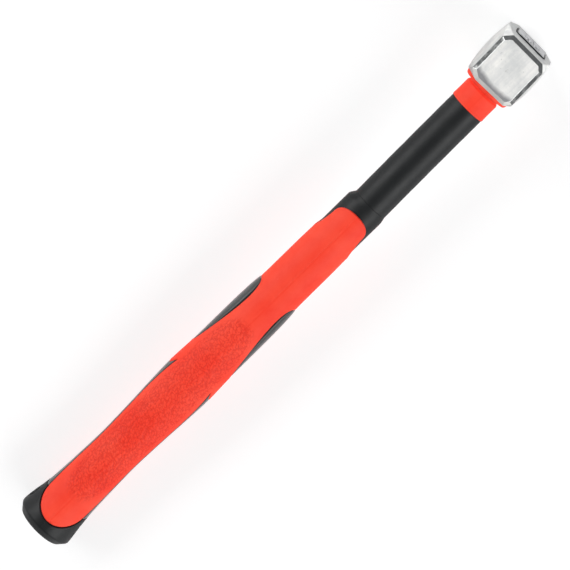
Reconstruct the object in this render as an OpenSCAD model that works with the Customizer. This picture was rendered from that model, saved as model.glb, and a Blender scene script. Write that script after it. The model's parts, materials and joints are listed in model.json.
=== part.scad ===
// Short-handled sledge hammer with a double-faced forged head and a handle moulded over steel rods.
// +Z is the striking direction: the hammer is held level over its work, lower face at Z = 0.
// +X runs up the handle and out through the top of the head, +Y across the handle.
// The origin is the centre of the lower striking face. All sizes are in millimetres.

/* [Head] */
// Length of the head from striking face to striking face
head_length = 120; // [100:1:140]
// Height of the head along the handle
head_height = 50; // [46:1:56]
// Width of the head across its cheeks, at the eye
cheek_width = 54; // [52:1:60]
// Height of a striking face along the handle, with its bevel
face_height = 49; // [40:1:49]
// Width of a striking face across the handle, with its bevel
face_width = 46.4; // [40:0.1:50]
// Width of the 45 degree bevel around a striking face
face_bevel = 3.6; // [2:0.1:5]
// Leg of the corner chamfer where it meets a striking face
corner_chamfer = 6.2; // [3:0.1:9]
// Distance from the middle of the head to where the corner chamfers start
chamfer_start = 14; // [6:1:24]
// Radius of the cheeks' crown, seen along the striking direction
cheek_crown = 126; // [100:1:300]

/* [Eye and locking plate] */
// Width of the eye across the handle
eye_width = 27; // [25:0.5:29]
// Length of the eye along the striking direction
eye_length = 37; // [35:0.5:41]
// Margin of the locking plate's seat beyond the eye
seat_margin = 3.5; // [3:0.25:4]
// Corner radius of the locking plate's seat
seat_corner_r = 6; // [5.5:0.5:10]
// Depth of the seat in the top of the head
seat_depth = 2; // [1:0.25:3]
// Thickness of the locking plate
lock_plate_t = 3.5; // [3:0.25:5]
// Width of the rubber seal around the locking plate
seal_width = 1.5; // [1:0.1:1.8]

/* [Steel rods] */
// Radius of one steel rod
rod_r = 2.8; // [2:0.1:3]
// Distance of each row of rods from the middle of the handle
rod_row_y = 4.6; // [4:0.1:5]
// Spacing of the rods along the striking direction
rod_pitch_z = 9.2; // [8.5:0.1:9.5]
// Height of the riveted rod ends above the locking plate
rivet_height = 0.5; // [0.2:0.1:1]

/* [Handle] */
// Length from the butt to the highest point of the rods
overall_length = 610; // [560:5:700]
// How much deeper than wide the handle is, along the striking direction
extra_depth = 4; // [0.5:0.5:8]
// Width of the bare black shaft
shaft_width = 33.8; // [33:0.1:36]
// Width of the red collar under the head
collar_width = 34.4; // [34:0.1:38]
// Length of the collar below its flange
collar_length = 21; // [12:1:40]
// Thickness of the collar's flange
flange_t = 6; // [6:0.5:10]
// Width of the collar's flange where it meets the head
flange_width = 47; // [45:0.5:50]

/* [Grip] */
// Thickness of the red skin
skin_t = 1.8; // [1.2:0.1:2.5]
// Height of the black base's step above the shaft, at its top end
base_step = 1.9; // [1:0.1:3]
// How far the black pads in the upper side windows bulge above the red skin
pad_bulge = 0.8; // [0:0.1:1.5]
// Gap between the red skin's edge and the black pads, bands and butt
groove = 0.3; // [0.2:0.05:0.5]

/* [Butt] */
// Width of the butt at its widest point
butt_width = 55; // [50:0.5:60]
// Width of the flat end inside the butt's chamfer
butt_flat_width = 44; // [38:0.5:48]
// Radius of the lanyard hole that runs across the butt
lanyard_r = 5; // [3:0.5:6]
// Length of the lanyard hole's straight wall, between its flared mouths
lanyard_wall = 45; // [40:1:46]

/* [Hidden] */
$fn = 96;

RED = [0.90, 0.13, 0.08];
BLACK = [0.06, 0.06, 0.065];
STEEL = [0.70, 0.70, 0.71];
NYLON = [0.80, 0.78, 0.70];

fit_gap = 0.05;                         // clearance between pieces moulded or pressed together
thin = 0.01;                            // thickness of the sections that a hull joins
axis_z = head_length / 2;               // height of the handle's axis
head_top = head_height / 2;
plate_top = head_top - seat_depth + lock_plate_t;
butt_x = plate_top + rivet_height - overall_length;
neck_x = -head_top;                     // underside of the head
seat_width = eye_width + 2 * seat_margin;
seat_length = eye_length + 2 * seat_margin;

// Distances along the handle, measured from the butt's flat end.
neck_s = neck_x - butt_x;               // where the collar's flange meets the head
collar_s = neck_s - flange_t - collar_length;
flare_s = 7.5;                          // the butt's widest point
cap_top_s = 35;                         // joint between the butt cap and the black base
lanyard_s = 20.5;
mouth_depth = 6;                        // depth of the 45 degree cutter that flares the lanyard hole
base_top_s = 410.5;                     // the step where the black base ends and the bare shaft begins
end_plate_s = 32;
end_plate_t = 3;
core_bottom_s = end_plate_s + end_plate_t + fit_gap;
spacer_t = 6;
spacer_s = [120, 270, 430];             // lower, middle and upper rod spacers
spacer_inset = 0.5;                     // nylon around a spacer
shoulder_t = 4;
shoulder_margin = 3;                    // the shoulder plate's margin beyond the eye
core_top_s = neck_s - shoulder_t - fit_gap;
skin_bottom_s = 15;
skin_top_s = 399.5;
pad_root_r = 12;                        // inner half width of the pads and bands, inside the base
recess = 0.1;                           // the black bands lie this far below the red skin
outside = 40;                           // beyond the handle's surface on every side

// Half widths of the grip at these distances from the butt.
grip_stations = [[flare_s, butt_width / 2], [19, 26.4], [29, 24.7], [46, 23.2], [72, 22.1], [100, 21.4],
                 [137, 22.5], [166, 23.9], [190, 24.5], [218, 23.4], [245, 22.6], [280, 21.6],
                 [305, 20.9], [345, 20.7], [372, 20.1], [390, 19.2], [420, 18.8]];
profile_step = 12;                      // distance between the points of a turned profile

// The core is an obround bar, deeper along the striking direction.
core_r = 10.5;
core_offset = 4.5;

// Slope and value of the smooth curve through a list of [position, value] stations.
function slope(t, i) =
    let (a = max(i - 1, 0), b = min(i + 1, len(t) - 1)) (t[b][1] - t[a][1]) / (t[b][0] - t[a][0]);
function span(t, s, i = 0) = i >= len(t) - 2 || s <= t[i + 1][0] ? i : span(t, s, i + 1);
function curve(t, s) =
    let (i = span(t, s), d = t[i + 1][0] - t[i][0], u = (s - t[i][0]) / d)
    t[i][1] * (2 * u^3 - 3 * u^2 + 1) + slope(t, i) * d * (u^3 - 2 * u^2 + u)
    + t[i + 1][1] * (3 * u^2 - 2 * u^3) + slope(t, i + 1) * d * (u^3 - u^2);
function grip_r(s) = curve(grip_stations, s);

// Positions from a to b, both ends included, evenly spaced at about the profile's step.
function stations(a, b, step = profile_step) =
    let (n = max(1, ceil((b - a) / step))) [for (i = [0:n]) a + (b - a) * i / n];

// Upper side windows: how far each reaches in from the grip's outline, blunt at the top, pointed below.
window_top_s = 302;
window_bottom_s = 217;
window_depth = 5.75;
pad_tail = 10;                          // the pads stop this far short of the windows' pointed ends
function window_reach(s) =
    let (u = (window_top_s - s) / (window_top_s - window_bottom_s))
    window_depth * max(sin(180 * sqrt(u)), 0);

// Half width of the grip over the black pads in the upper windows.
function pad_r(s) = grip_r(s) - recess + pad_bulge * window_reach(s) / window_depth;

// Closes a run of [half width, position] points back to the pads' root inside the base.
function from_root(points) =
    concat([[pad_root_r, points[0][1]]], points, [[pad_root_r, points[len(points) - 1][1]]]);

// Lower side bands: distance of the red skin's edge inside the grip's outline.
band_stations = [[35, 2.9], [50, 1.8], [65, 1.4], [93, 1.1], [138, 1.1], [158, 1.4], [175, 2], [188, 2.9],
                 [198, 3.7]];
band_bottom_s = 35;
band_top_s = 198;
tongue_tip_s = 185;
function skin_edge(s) = grip_r(s) - curve(band_stations, s);

// --- Placing ---------------------------------------------------------------

// Moves a piece drawn along +X from the butt onto the handle's axis.
module on_handle() {
    translate([butt_x, 0, axis_z]) children();
}

// A body with straight sides and round front and back, from a profile of
// [half width, distance from the butt] points.
module oval_turned(profile) {
    for (turn = [0, 180])
        rotate([turn, 0, 0]) translate([0, 0, extra_depth / 2]) rotate([0, 90, 0]) rotate([0, 0, 90])
            rotate_extrude(angle = 180) polygon(profile);
    translate([0, 0, -extra_depth / 2]) linear_extrude(extra_depth)
        for (side = [-1, 1]) polygon([for (p = profile) [p[1], side * p[0]]]);
}

// A bar with straight sides and round ends, from a to b along X.
module obround_bar(a, b, width, length) {
    straight = length - width;
    translate([a, 0, 0]) rotate([0, 90, 0]) linear_extrude(b - a) {
        square([straight, width], center = true);
        for (side = [-1, 1]) translate([side * straight / 2, 0]) circle(d = width);
    }
}

// The locking plate's seat, from a to b along X, made smaller by a margin all around.
module seat_bar(a, b, margin = 0) {
    r = seat_corner_r - margin;
    straight = seat_length - 2 * seat_corner_r;
    across = seat_width - 2 * seat_corner_r;
    translate([a, 0, 0]) rotate([0, 90, 0]) linear_extrude(b - a) {
        square([straight + 2 * r, across], center = true);
        square([straight, across + 2 * r], center = true);
        for (x = [-1, 1], y = [-1, 1]) translate([x * straight / 2, y * across / 2]) circle(r);
    }
}

// The handle's core outline, grown by a margin.
module core_bar(a, b, margin = 0) {
    obround_bar(a, b, 2 * (core_r + margin), 2 * (core_r + core_offset + margin));
}

// Position of one of the six rods in the handle's section.
function rod_yz(i) = [(i % 2 == 0 ? -1 : 1) * rod_row_y, (floor(i / 2) - 1) * rod_pitch_z];

// Holes for all six rods, from a to b along X.
module rod_holes(a, b) {
    for (i = [0:5])
        translate([a, rod_yz(i)[0], rod_yz(i)[1]]) rotate([0, 90, 0])
            cylinder(r = rod_r + fit_gap, h = b - a);
}

// --- Head ------------------------------------------------------------------

// A rectangle with chamfered corners, drawn in the plane of a striking face.
module chamfered_face(height, width, chamfer) {
    x = height / 2;
    y = width / 2;
    polygon([[x, y - chamfer], [x - chamfer, y], [chamfer - x, y], [-x, y - chamfer],
             [-x, chamfer - y], [chamfer - x, -y], [x - chamfer, -y], [x, chamfer - y]]);
}

// One striking end, from the middle of the head out to its face.
module poll() {
    inner_chamfer = corner_chamfer - 2 * face_bevel * (1 - sqrt(0.5));
    hull() {
        linear_extrude(chamfer_start) square([head_height, cheek_width], center = true);
        translate([0, 0, axis_z - face_bevel - thin]) linear_extrude(thin)
            chamfered_face(face_height, face_width, corner_chamfer);
        translate([0, 0, axis_z - thin]) linear_extrude(thin)
            chamfered_face(face_height - 2 * face_bevel, face_width - 2 * face_bevel, inner_chamfer);
    }
}

// The space between the two crowned cheeks.
module cheek_limits() {
    intersection_for (side = [-1, 1])
        translate([0, side * (cheek_width / 2 - cheek_crown), -axis_z])
            cylinder(r = cheek_crown, h = head_length, $fn = 256);
}

module head() {
    color(STEEL) translate([0, 0, axis_z]) difference() {
        intersection() {
            union() {
                poll();
                mirror([0, 0, 1]) poll();
            }
            cheek_limits();
        }
        obround_bar(-head_top - 1, head_top + 1, eye_width, eye_length);
        seat_bar(head_top - seat_depth, head_top + 1);
    }
}

// Rubber that fills the eye around the rods.
module eye_filler() {
    color(BLACK) translate([0, 0, axis_z]) difference() {
        obround_bar(neck_x, head_top - seat_depth, eye_width - 2 * fit_gap, eye_length - 2 * fit_gap);
        rod_holes(neck_x - 1, head_top + 1);
    }
}

// Steel plate over the eye. The rods are riveted over it, so the head can't fly off.
module lock_plate() {
    bottom = head_top - seat_depth;
    color(STEEL) translate([0, 0, axis_z]) difference() {
        seat_bar(bottom, plate_top, seal_width);
        rod_holes(bottom - 1, plate_top + 1);
    }
}

// Rubber seal that fills the seat around the locking plate and stands a little above the head.
module plate_seal() {
    bottom = head_top - seat_depth;
    top = head_top + 0.8;
    color(BLACK) translate([0, 0, axis_z]) difference() {
        seat_bar(bottom, top, fit_gap);
        seat_bar(bottom - 1, top + 1, seal_width - fit_gap);
    }
}

// --- Steel core ------------------------------------------------------------

// One steel rod, from the end plate in the butt to its rivet head over the locking plate.
module core_rod(i) {
    top_s = plate_top - butt_x;
    color(STEEL) on_handle() translate([end_plate_s, rod_yz(i)[0], rod_yz(i)[1]]) rotate([0, 90, 0]) {
        cylinder(r = rod_r, h = top_s - end_plate_s);
        translate([0, 0, top_s - end_plate_s])
            cylinder(r1 = rod_r + 1, r2 = rod_r, h = rivet_height);
    }
}

// Steel plate under the head. It stops the head sliding down the handle.
module shoulder_plate() {
    color(STEEL) on_handle() difference() {
        obround_bar(neck_s - shoulder_t, neck_s - fit_gap,
                    eye_width + 2 * shoulder_margin, eye_length + 2 * shoulder_margin);
        rod_holes(neck_s - shoulder_t - 1, neck_s + 1);
    }
}

// Steel plate that the rods' lower ends are riveted to.
module rod_end_plate() {
    color(STEEL) on_handle() difference() {
        core_bar(end_plate_s, end_plate_s + end_plate_t);
        rod_holes(end_plate_s - 1, end_plate_s + end_plate_t + 1);
    }
}

// Spacer that holds the rods apart while the core is moulded around them.
module rod_spacer(s) {
    color(BLACK) on_handle() difference() {
        core_bar(s, s + spacer_t, -spacer_inset);
        rod_holes(s - 1, s + spacer_t + 1);
    }
}

// Stiff nylon core, moulded around the rods and their spacers.
module handle_core() {
    color(NYLON) on_handle() difference() {
        core_bar(core_bottom_s, core_top_s);
        rod_holes(core_bottom_s - 1, core_top_s + 1);
        for (s = spacer_s) core_bar(s - fit_gap, s + spacer_t + fit_gap, fit_gap - spacer_inset);
    }
}

// --- Outer rubber ----------------------------------------------------------

// Red collar under the head, with a flange that cushions the head's underside.
module head_collar() {
    r = collar_width / 2;
    flange_r = flange_width / 2;
    lip = 1.5;
    color(RED) on_handle() difference() {
        oval_turned([[0, collar_s], [r, collar_s], [r, neck_s - flange_t - lip],
                     [r + lip, neck_s - flange_t], [flange_r - lip, neck_s - flange_t],
                     [flange_r - lip / 2, neck_s - flange_t + lip], [flange_r, neck_s - fit_gap],
                     [0, neck_s - fit_gap]]);
        core_bar(collar_s - 1, neck_s, fit_gap);
        obround_bar(core_top_s, neck_s + 1, eye_width + 2 * (shoulder_margin + fit_gap),
                    eye_length + 2 * (shoulder_margin + fit_gap));
    }
}

// Black sleeve over the bare shaft between the grip and the collar.
module shaft_sleeve() {
    color(BLACK) on_handle() difference() {
        oval_turned([[0, base_top_s], [shaft_width / 2, base_top_s],
                     [shaft_width / 2, collar_s - fit_gap], [0, collar_s - fit_gap]]);
        core_bar(base_top_s - 1, collar_s + 1, fit_gap);
    }
}

// Outline of an upper side window in plan, grown by a margin. side is 1 or -1.
module window_plan(side, margin = 0) {
    s_list = stations(window_bottom_s, window_top_s, 5);
    polygon(concat([for (s = s_list) [s, side * (grip_r(s) - window_reach(s) - margin)]],
                   [[window_top_s + margin, side * outside], [window_bottom_s - margin, side * outside]]));
}

// Outline of a lower side band in plan, with the notch for the red tongue.
module band_plan(side, margin = 0) {
    s_list = stations(band_bottom_s, band_top_s, 10);
    polygon(concat([for (s = s_list) [s, side * (skin_edge(s) - margin)]],
                   [[tongue_tip_s + margin, side * 26], [band_bottom_s, side * outside]]));
}

// Points along an ellipse in plan, or a squarer curve where power is over 2.
function arc(centre_s, length, half, from, to, power = 2, steps = 16) =
    [for (i = [0:steps])
        let (a = from + (to - from) * i / steps, c = cos(a), w = sin(a))
        [centre_s + length * sign(c) * pow(abs(c), 2 / power), half * sign(w) * pow(abs(w), 2 / power)]];

// Plan of the red skin, grown by a margin: round below, blunt above, wider than the grip between.
module skin_plan(margin = 0) {
    bottom_length = band_bottom_s - skin_bottom_s;
    bottom_half = 21;
    top_length = 12.5;
    top_half = 18.6;
    widest = [60, 340];                 // between these the plan is wider than the grip
    polygon(concat(arc(band_bottom_s, bottom_length + margin, bottom_half + margin, 270, 90),
                   [[widest[0], outside], [widest[1], outside]],
                   arc(skin_top_s - top_length, top_length + margin, top_half + margin, 90, -90, 2.4),
                   [[widest[1], -outside], [widest[0], -outside]]));
}

// A slab through the handle with the given plan, tall enough to cut right through it.
module through_handle() {
    translate([0, 0, -outside]) linear_extrude(2 * outside) children();
}

// Red skin: one moulding around the grip, open at the side windows and bands.
module grip_skin() {
    s_list = stations(skin_bottom_s, skin_top_s);
    outer = [for (s = s_list) [grip_r(s), s]];
    inner = [for (i = [len(s_list) - 1:-1:0]) [grip_r(s_list[i]) - skin_t, s_list[i]]];
    color(RED) on_handle() difference() {
        intersection() {
            oval_turned(concat(outer, inner));
            through_handle() skin_plan();
        }
        for (side = [-1, 1]) {
            through_handle() window_plan(side);
            through_handle() band_plan(side);
        }
    }
}

// Black base under the red skin, with the pads and bands that show at the grip's sides.
module grip_base() {
    lower = stations(cap_top_s + fit_gap, band_top_s);
    upper = stations(window_bottom_s + pad_tail, window_top_s);
    all = stations(cap_top_s + fit_gap, skin_top_s + 2);
    under = skin_t + fit_gap;
    step_r = shaft_width / 2 + base_step;
    color(BLACK) on_handle() difference() {
        union() {
            oval_turned(concat([[0, cap_top_s + fit_gap]], [for (s = all) [grip_r(s) - under, s]],
                               [[step_r, skin_top_s + 2], [step_r, base_top_s - 3],
                                [step_r - 1.6, base_top_s - fit_gap], [0, base_top_s - fit_gap]]));
            intersection() {
                oval_turned(from_root([for (s = upper) [pad_r(s), s]]));
                for (side = [-1, 1]) through_handle() window_plan(side, -groove);
            }
            intersection() {
                oval_turned(from_root([for (s = lower) [grip_r(s) - recess, s]]));
                for (side = [-1, 1]) through_handle() band_plan(side, -groove);
            }
        }
        core_bar(cap_top_s - 1, base_top_s + 1, fit_gap);
    }
}

// Flared black cap on the end of the handle, with the lanyard hole across it.
module butt_cap() {
    s_list = stations(flare_s, cap_top_s, 4);
    pocket = stations(skin_bottom_s - 1, cap_top_s + 1, 4);
    color(BLACK) on_handle() difference() {
        oval_turned(concat([[0, 0], [butt_flat_width / 2, 0]], [for (s = s_list) [grip_r(s), s]],
                           [[0, cap_top_s]]));
        intersection() {
            oval_turned(concat([for (s = pocket) [grip_r(s) - skin_t - fit_gap, s]],
                               [[butt_width, cap_top_s + 1], [butt_width, skin_bottom_s - 1]]));
            through_handle() skin_plan(groove);
        }
        core_bar(end_plate_s - fit_gap, cap_top_s + 1, fit_gap);
        translate([lanyard_s, 0, 0]) rotate([90, 0, 0]) {
            cylinder(r = lanyard_r, h = butt_width + 2, center = true);
            for (end = [0, 180])
                rotate([end, 0, 0]) translate([0, 0, lanyard_wall / 2])
                    cylinder(r1 = lanyard_r, r2 = lanyard_r + mouth_depth, h = mouth_depth);
        }
    }
}

head();
lock_plate();
plate_seal();
eye_filler();
shoulder_plate();
core_rod(0);  // core_rod_1
core_rod(1);  // core_rod_2
core_rod(2);  // core_rod_3
core_rod(3);  // core_rod_4
core_rod(4);  // core_rod_5
core_rod(5);  // core_rod_6
rod_spacer(spacer_s[0]);  // rod_spacer_lower
rod_spacer(spacer_s[1]);  // rod_spacer_middle
rod_spacer(spacer_s[2]);  // rod_spacer_upper
rod_end_plate();
handle_core();
head_collar();
shaft_sleeve();
grip_base();
grip_skin();
butt_cap();
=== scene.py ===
"""Looks of a short-handled sledge hammer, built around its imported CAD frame.

The row frame: +Z is the striking direction, with the lower face at Z = 0; +X runs up the handle and out
through the top of the head; +Y is across the handle. Shapes are worked out in millimetres and turned into
metres when a mesh is made. Distances along the handle, called s, start at the butt's flat end.
"""

import json
import math

import bmesh
import bpy
import numpy as np
from mathutils import Matrix, Vector, noise
from mathutils.kdtree import KDTree


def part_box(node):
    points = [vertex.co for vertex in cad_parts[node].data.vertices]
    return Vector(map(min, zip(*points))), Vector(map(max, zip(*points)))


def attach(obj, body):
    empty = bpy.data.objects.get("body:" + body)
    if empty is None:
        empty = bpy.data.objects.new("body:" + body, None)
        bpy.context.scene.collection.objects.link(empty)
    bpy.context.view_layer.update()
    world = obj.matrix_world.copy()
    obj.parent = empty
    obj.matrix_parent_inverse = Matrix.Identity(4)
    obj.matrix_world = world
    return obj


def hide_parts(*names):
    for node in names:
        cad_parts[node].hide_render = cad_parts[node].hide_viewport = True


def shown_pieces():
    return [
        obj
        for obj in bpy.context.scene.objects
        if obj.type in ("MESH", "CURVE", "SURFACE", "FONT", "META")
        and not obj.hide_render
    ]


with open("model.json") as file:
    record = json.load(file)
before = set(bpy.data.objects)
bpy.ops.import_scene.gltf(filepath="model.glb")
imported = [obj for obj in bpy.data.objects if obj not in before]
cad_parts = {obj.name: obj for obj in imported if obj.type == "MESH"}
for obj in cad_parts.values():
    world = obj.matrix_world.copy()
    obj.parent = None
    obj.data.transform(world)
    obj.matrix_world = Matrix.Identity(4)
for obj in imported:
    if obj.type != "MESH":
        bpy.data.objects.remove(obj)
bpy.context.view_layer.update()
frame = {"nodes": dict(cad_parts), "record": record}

NOISE_SEED = 7
noise.seed_set(NOISE_SEED)  # otherwise noise_vector's offsets come from the clock

MM = 0.001
BODY = "root"
SHADE_ATTRIBUTE = "painted_shade"  # point attribute: how much painted shade a point gets, in the hollows between the pebbles and along grooves and joints

# --- Places taken from the frame, in millimetres ---


def node_box(node):
    """Lowest and highest corner of a CAD node, in millimetres."""
    lo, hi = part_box(node)
    return np.array(lo) / MM, np.array(hi) / MM


HEAD_LO, HEAD_HI = node_box("head")
PLATE_LO, PLATE_HI = node_box("lock_plate")
SEAL_LO, SEAL_HI = node_box("plate_seal")
FILLER_LO, FILLER_HI = node_box("eye_filler")
CAP_LO, CAP_HI = node_box("butt_cap")
SLEEVE_LO, SLEEVE_HI = node_box("shaft_sleeve")
COLLAR_LO, COLLAR_HI = node_box("head_collar")
SKIN_LO, SKIN_HI = node_box("grip_skin")
MOUNTS = {m["name"]: m for m in frame["record"]["mounts"]}

BUTT_X = CAP_LO[0]
AXIS_Z = (HEAD_LO[2] + HEAD_HI[2]) / 2
SHAFT_R = SLEEVE_HI[1]
FLAT = (SLEEVE_HI[2] - SLEEVE_LO[2]) / 2 - SHAFT_R  # half the straight part of the oval section
CAP_TOP = CAP_HI[0] - BUTT_X
BASE_TOP = SLEEVE_LO[0] - BUTT_X
COLLAR_S = COLLAR_LO[0] - BUTT_X
NECK_S = HEAD_LO[0] - BUTT_X
SKIN_BOTTOM = SKIN_LO[0] - BUTT_X
SKIN_TOP = SKIN_HI[0] - BUTT_X

# --- The grip's outlines, in millimetres ---

SKIN_T = 1.8  # thickness of the red skin
CLEAR = 0.05  # gap between touching pieces
GROOVE = 0.5  # gap between the red skin and the black beside it
CAP_GROOVE = 0.8  # the same gap around the skin's lower end
WINDOW_GROOVE = 1.7  # how much wider that gap is at the middle of a window
LEDGE_R = 19.2  # half width of the black ledge above the red skin
LEDGE_BOTTOM = (358, 368)  # where the black moulding grows from under the skin to the ledge
LEDGE_TOP = 406.5  # where it starts down to the shaft
LEDGE_DROP = 2.0  # how much flatter than its width the ledge is, front and back, at its top
FLATTENED = (384, 402)  # where it gets flatter
SHOULDER_REACH = 8  # how far below the ledge's top its shoulder begins
# Half widths of the grip at these distances from the butt.
GRIP = [(7.5, 27.5), (19, 26.4), (29, 24.7), (46, 23.2), (72, 22.1), (100, 21.4), (137, 22.5), (166, 23.9),
        (190, 24.5), (218, 23.4), (245, 22.6), (280, 21.6), (305, 20.9), (345, 20.7), (372, 20.2), (390, 19.9),
        (420, 19.7)]
# How far in from the outline the red skin's edge lies, along the lower side bands.
BAND = [(35, 2.7), (50, 1.5), (65, 1.05), (93, 0.8), (138, 0.8), (158, 1.05), (175, 1.7), (188, 2.6), (198, 3.5)]
BAND_TOP = 198  # the upper end of the bands
TONGUE_TIP = (185, 26)  # s and half width where the tongue's slanted edge would meet the outline
WINDOW = (217, 300)  # lower and upper end of the upper side windows
WINDOW_DEPTH = 5.1  # how far they cut in from the outline
WINDOW_DIP = 1.2  # how much deeper the black lies in the groove around a pad
PAD_BULGE = 1.3  # how far a pad stands out of its window
TOP_OPEN = 366  # from here up the skin no longer wraps around the sides
SIDE_POWER = 1.3  # how its sides then curve in
TOP_CURVE_S = 387  # where its round upper end begins
TOP_HALF = 17.7  # half width there
TOP_POWER = 2.4  # 2 is an ellipse, more is squarer
BOTTOM_HALF = 21  # half width of its round lower end
# How far the bare shaft and the collar lean to the side, at these distances from the butt.
LEAN = [(411, -1.12), (437, -0.72), (470, -0.32), (508, 0.0), (545, 0.2), (560, 0.25)]
LEAN_START = 405.5  # the lean fades in from here


def curve(stations, s):
    """The smooth curve through (position, value) stations."""
    t = np.array(stations, float)
    x, y = t[:, 0], t[:, 1]
    slopes = np.empty(len(x))
    slopes[1:-1] = (y[2:] - y[:-2]) / (x[2:] - x[:-2])
    slopes[0] = (y[1] - y[0]) / (x[1] - x[0])
    slopes[-1] = (y[-1] - y[-2]) / (x[-1] - x[-2])
    s = np.asarray(s, float)
    i = np.clip(np.searchsorted(x, s, side="left") - 1, 0, len(x) - 2)
    d = x[i + 1] - x[i]
    u = (s - x[i]) / d
    return (y[i] * (2 * u**3 - 3 * u**2 + 1) + slopes[i] * d * (u**3 - 2 * u**2 + u)
            + y[i + 1] * (3 * u**2 - 2 * u**3) + slopes[i + 1] * d * (u**3 - u**2))


def smooth_step(value, low, high):
    """0 below low, 1 above high, and a smooth rise between them."""
    u = np.clip((value - low) / (high - low), 0, 1)
    return u * u * (3 - 2 * u)


def grip_r(s):
    return curve(GRIP, s)


def window_reach(s):
    """How far in from the outline the red skin's edge lies, along the upper windows."""
    u = np.clip((WINDOW[1] - s) / (WINDOW[1] - WINDOW[0]), 0, 1)
    return WINDOW_DEPTH * np.sin(np.pi * np.sqrt(u))


def tongue_half(s):
    """Half width at which the tongue's slanted edge cuts the band, from its tip to the band's top."""
    top = grip_r(BAND_TOP) - BAND[-1][1]
    u = (s - TONGUE_TIP[0]) / (BAND_TOP - TONGUE_TIP[0])
    return TONGUE_TIP[1] + (top - TONGUE_TIP[1]) * u


def ellipse_half(s, margin=0):
    """Half width of the skin's round lower end, grown by a margin."""
    u = (CAP_TOP - s) / (CAP_TOP - SKIN_BOTTOM + margin)
    return (BOTTOM_HALF + margin) * math.sqrt(max(1 - u * u, 0))


def skin_half(s):
    """Half width of the red skin's plan at s, or the grip's own half width where it wraps around."""
    r = grip_r(s)
    if s < CAP_TOP:
        return min(ellipse_half(s), r - BAND[0][1])
    if s <= BAND_TOP:
        return r - curve(BAND, s)
    if s < WINDOW[0]:
        u = (s - BAND_TOP) / (WINDOW[0] - BAND_TOP)
        return r - BAND[-1][1] * (1 - u)
    if s <= TOP_OPEN:
        return r - window_reach(s) if s < WINDOW[1] else r
    if s < TOP_CURVE_S:
        u = (TOP_CURVE_S - s) / (TOP_CURVE_S - TOP_OPEN)
        return TOP_HALF + (r - TOP_HALF) * u**SIDE_POWER
    u = min((s - TOP_CURVE_S) / (SKIN_TOP - TOP_CURVE_S), 1)
    return TOP_HALF * (1 - u**TOP_POWER) ** (1 / TOP_POWER)


def base_r(s):
    """Half width of the black moulding that carries the red skin, up to the ledge's shoulder."""
    blend = smooth_step(s, *LEDGE_BOTTOM)
    under_skin = grip_r(s) - SKIN_T - CLEAR - WINDOW_DIP * window_reach(s) / WINDOW_DEPTH
    return under_skin * (1 - blend) + LEDGE_R * blend


def ledge_drop(s):
    return LEDGE_DROP * smooth_step(s, *FLATTENED)


TONGUE_S = next(s for s in np.arange(TONGUE_TIP[0], BAND_TOP, 0.05) if tongue_half(s) < grip_r(s))

# --- Meshes from grids of points ---


def to_frame(points):
    """Points drawn from the butt along the handle's axis, placed in the row frame."""
    return np.asarray(points, float) + (BUTT_X, 0, AXIS_Z)


def leaning(points):
    """As to_frame, for the parts that lean to the side with the bare shaft."""
    points = np.array(points, float)
    s = points[..., 0]
    points[..., 1] += curve(LEAN, np.maximum(s, LEAN[0][0])) * smooth_step(s, LEAN_START, LEAN[0][0])
    return to_frame(points)


def make_object(name, points, faces, shade_amounts=None):
    """A mesh piece from points in millimetres in the row frame, with doubled points merged. shade_amounts holds each
    point's amount of painted shade, kept in the SHADE_ATTRIBUTE attribute."""
    mesh = bpy.data.meshes.new(name)
    mesh.from_pydata((np.asarray(points) * MM).tolist(), [], [list(map(int, f)) for f in faces])
    if shade_amounts is not None:
        mesh.attributes.new(SHADE_ATTRIBUTE, "FLOAT", "POINT").data.foreach_set("value", np.asarray(shade_amounts, np.float32))
    bm = bmesh.new()
    bm.from_mesh(mesh)
    bmesh.ops.remove_doubles(bm, verts=bm.verts, dist=2e-6)
    bmesh.ops.dissolve_degenerate(bm, edges=bm.edges, dist=1e-6)
    bmesh.ops.recalc_face_normals(bm, faces=bm.faces)
    for face in bm.faces:
        face.smooth = True
    bm.to_mesh(mesh)
    bm.free()
    obj = bpy.data.objects.new(name, mesh)
    bpy.context.scene.collection.objects.link(obj)
    return obj


def in_plane(x, y, z):
    """Points with these y and z, all at one x."""
    return np.stack([np.full_like(y, x), y, z], 1)


def grid_faces(rows, columns, close_rows=False, close_columns=False):
    """Quads between the points of a grid that is stored row by row, closed into a ring where asked for."""
    faces = []
    for i in range(rows if close_rows else rows - 1):
        k = (i + 1) % rows
        for j in range(columns if close_columns else columns - 1):
            m = (j + 1) % columns
            faces.append((i * columns + j, i * columns + m, k * columns + m, k * columns + j))
    return faces


def section(r, w):
    """Point and outward normal on the right half of the oval section with half width r, at arc length w from
    the front's middle. Returns y, z, normal y, normal z."""
    r, w = np.broadcast_arrays(np.asarray(r, float), np.asarray(w, float))
    quarter = r * np.pi / 2
    safe = np.maximum(r, 1e-9)
    on_side = np.clip(w - quarter, 0, 2 * FLAT)
    a = np.minimum(w, quarter) / safe + np.maximum(w - quarter - 2 * FLAT, 0) / safe
    ny, nz = np.sin(a), np.cos(a)
    return r * ny, FLAT - on_side + r * nz, ny, nz


def half_girth(r):
    return np.pi * r + 2 * FLAT


def arc_at(r, half):
    """Arc length from the front's middle to where the section is this far from the middle plane."""
    return r * math.asin(min(max(half / r, 0), 1))


EDGE_STEPS = np.array([0, 0.12, 0.3, 0.55, 0.9, 1.4])  # distances from an edge where the mesh is refined


def graded(a, b, step, fine_a=False, fine_b=False):
    """Positions from a to b about a step apart, finer at the ends that are asked for."""
    low = a + EDGE_STEPS if fine_a else np.array([a])
    high = b - EDGE_STEPS[::-1] if fine_b else np.array([b])
    count = max(int(round((high[0] - low[-1]) / step)), 1)
    inner = np.linspace(low[-1], high[0], count + 1)[1:-1]
    return np.concatenate([low, inner, high])


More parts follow.
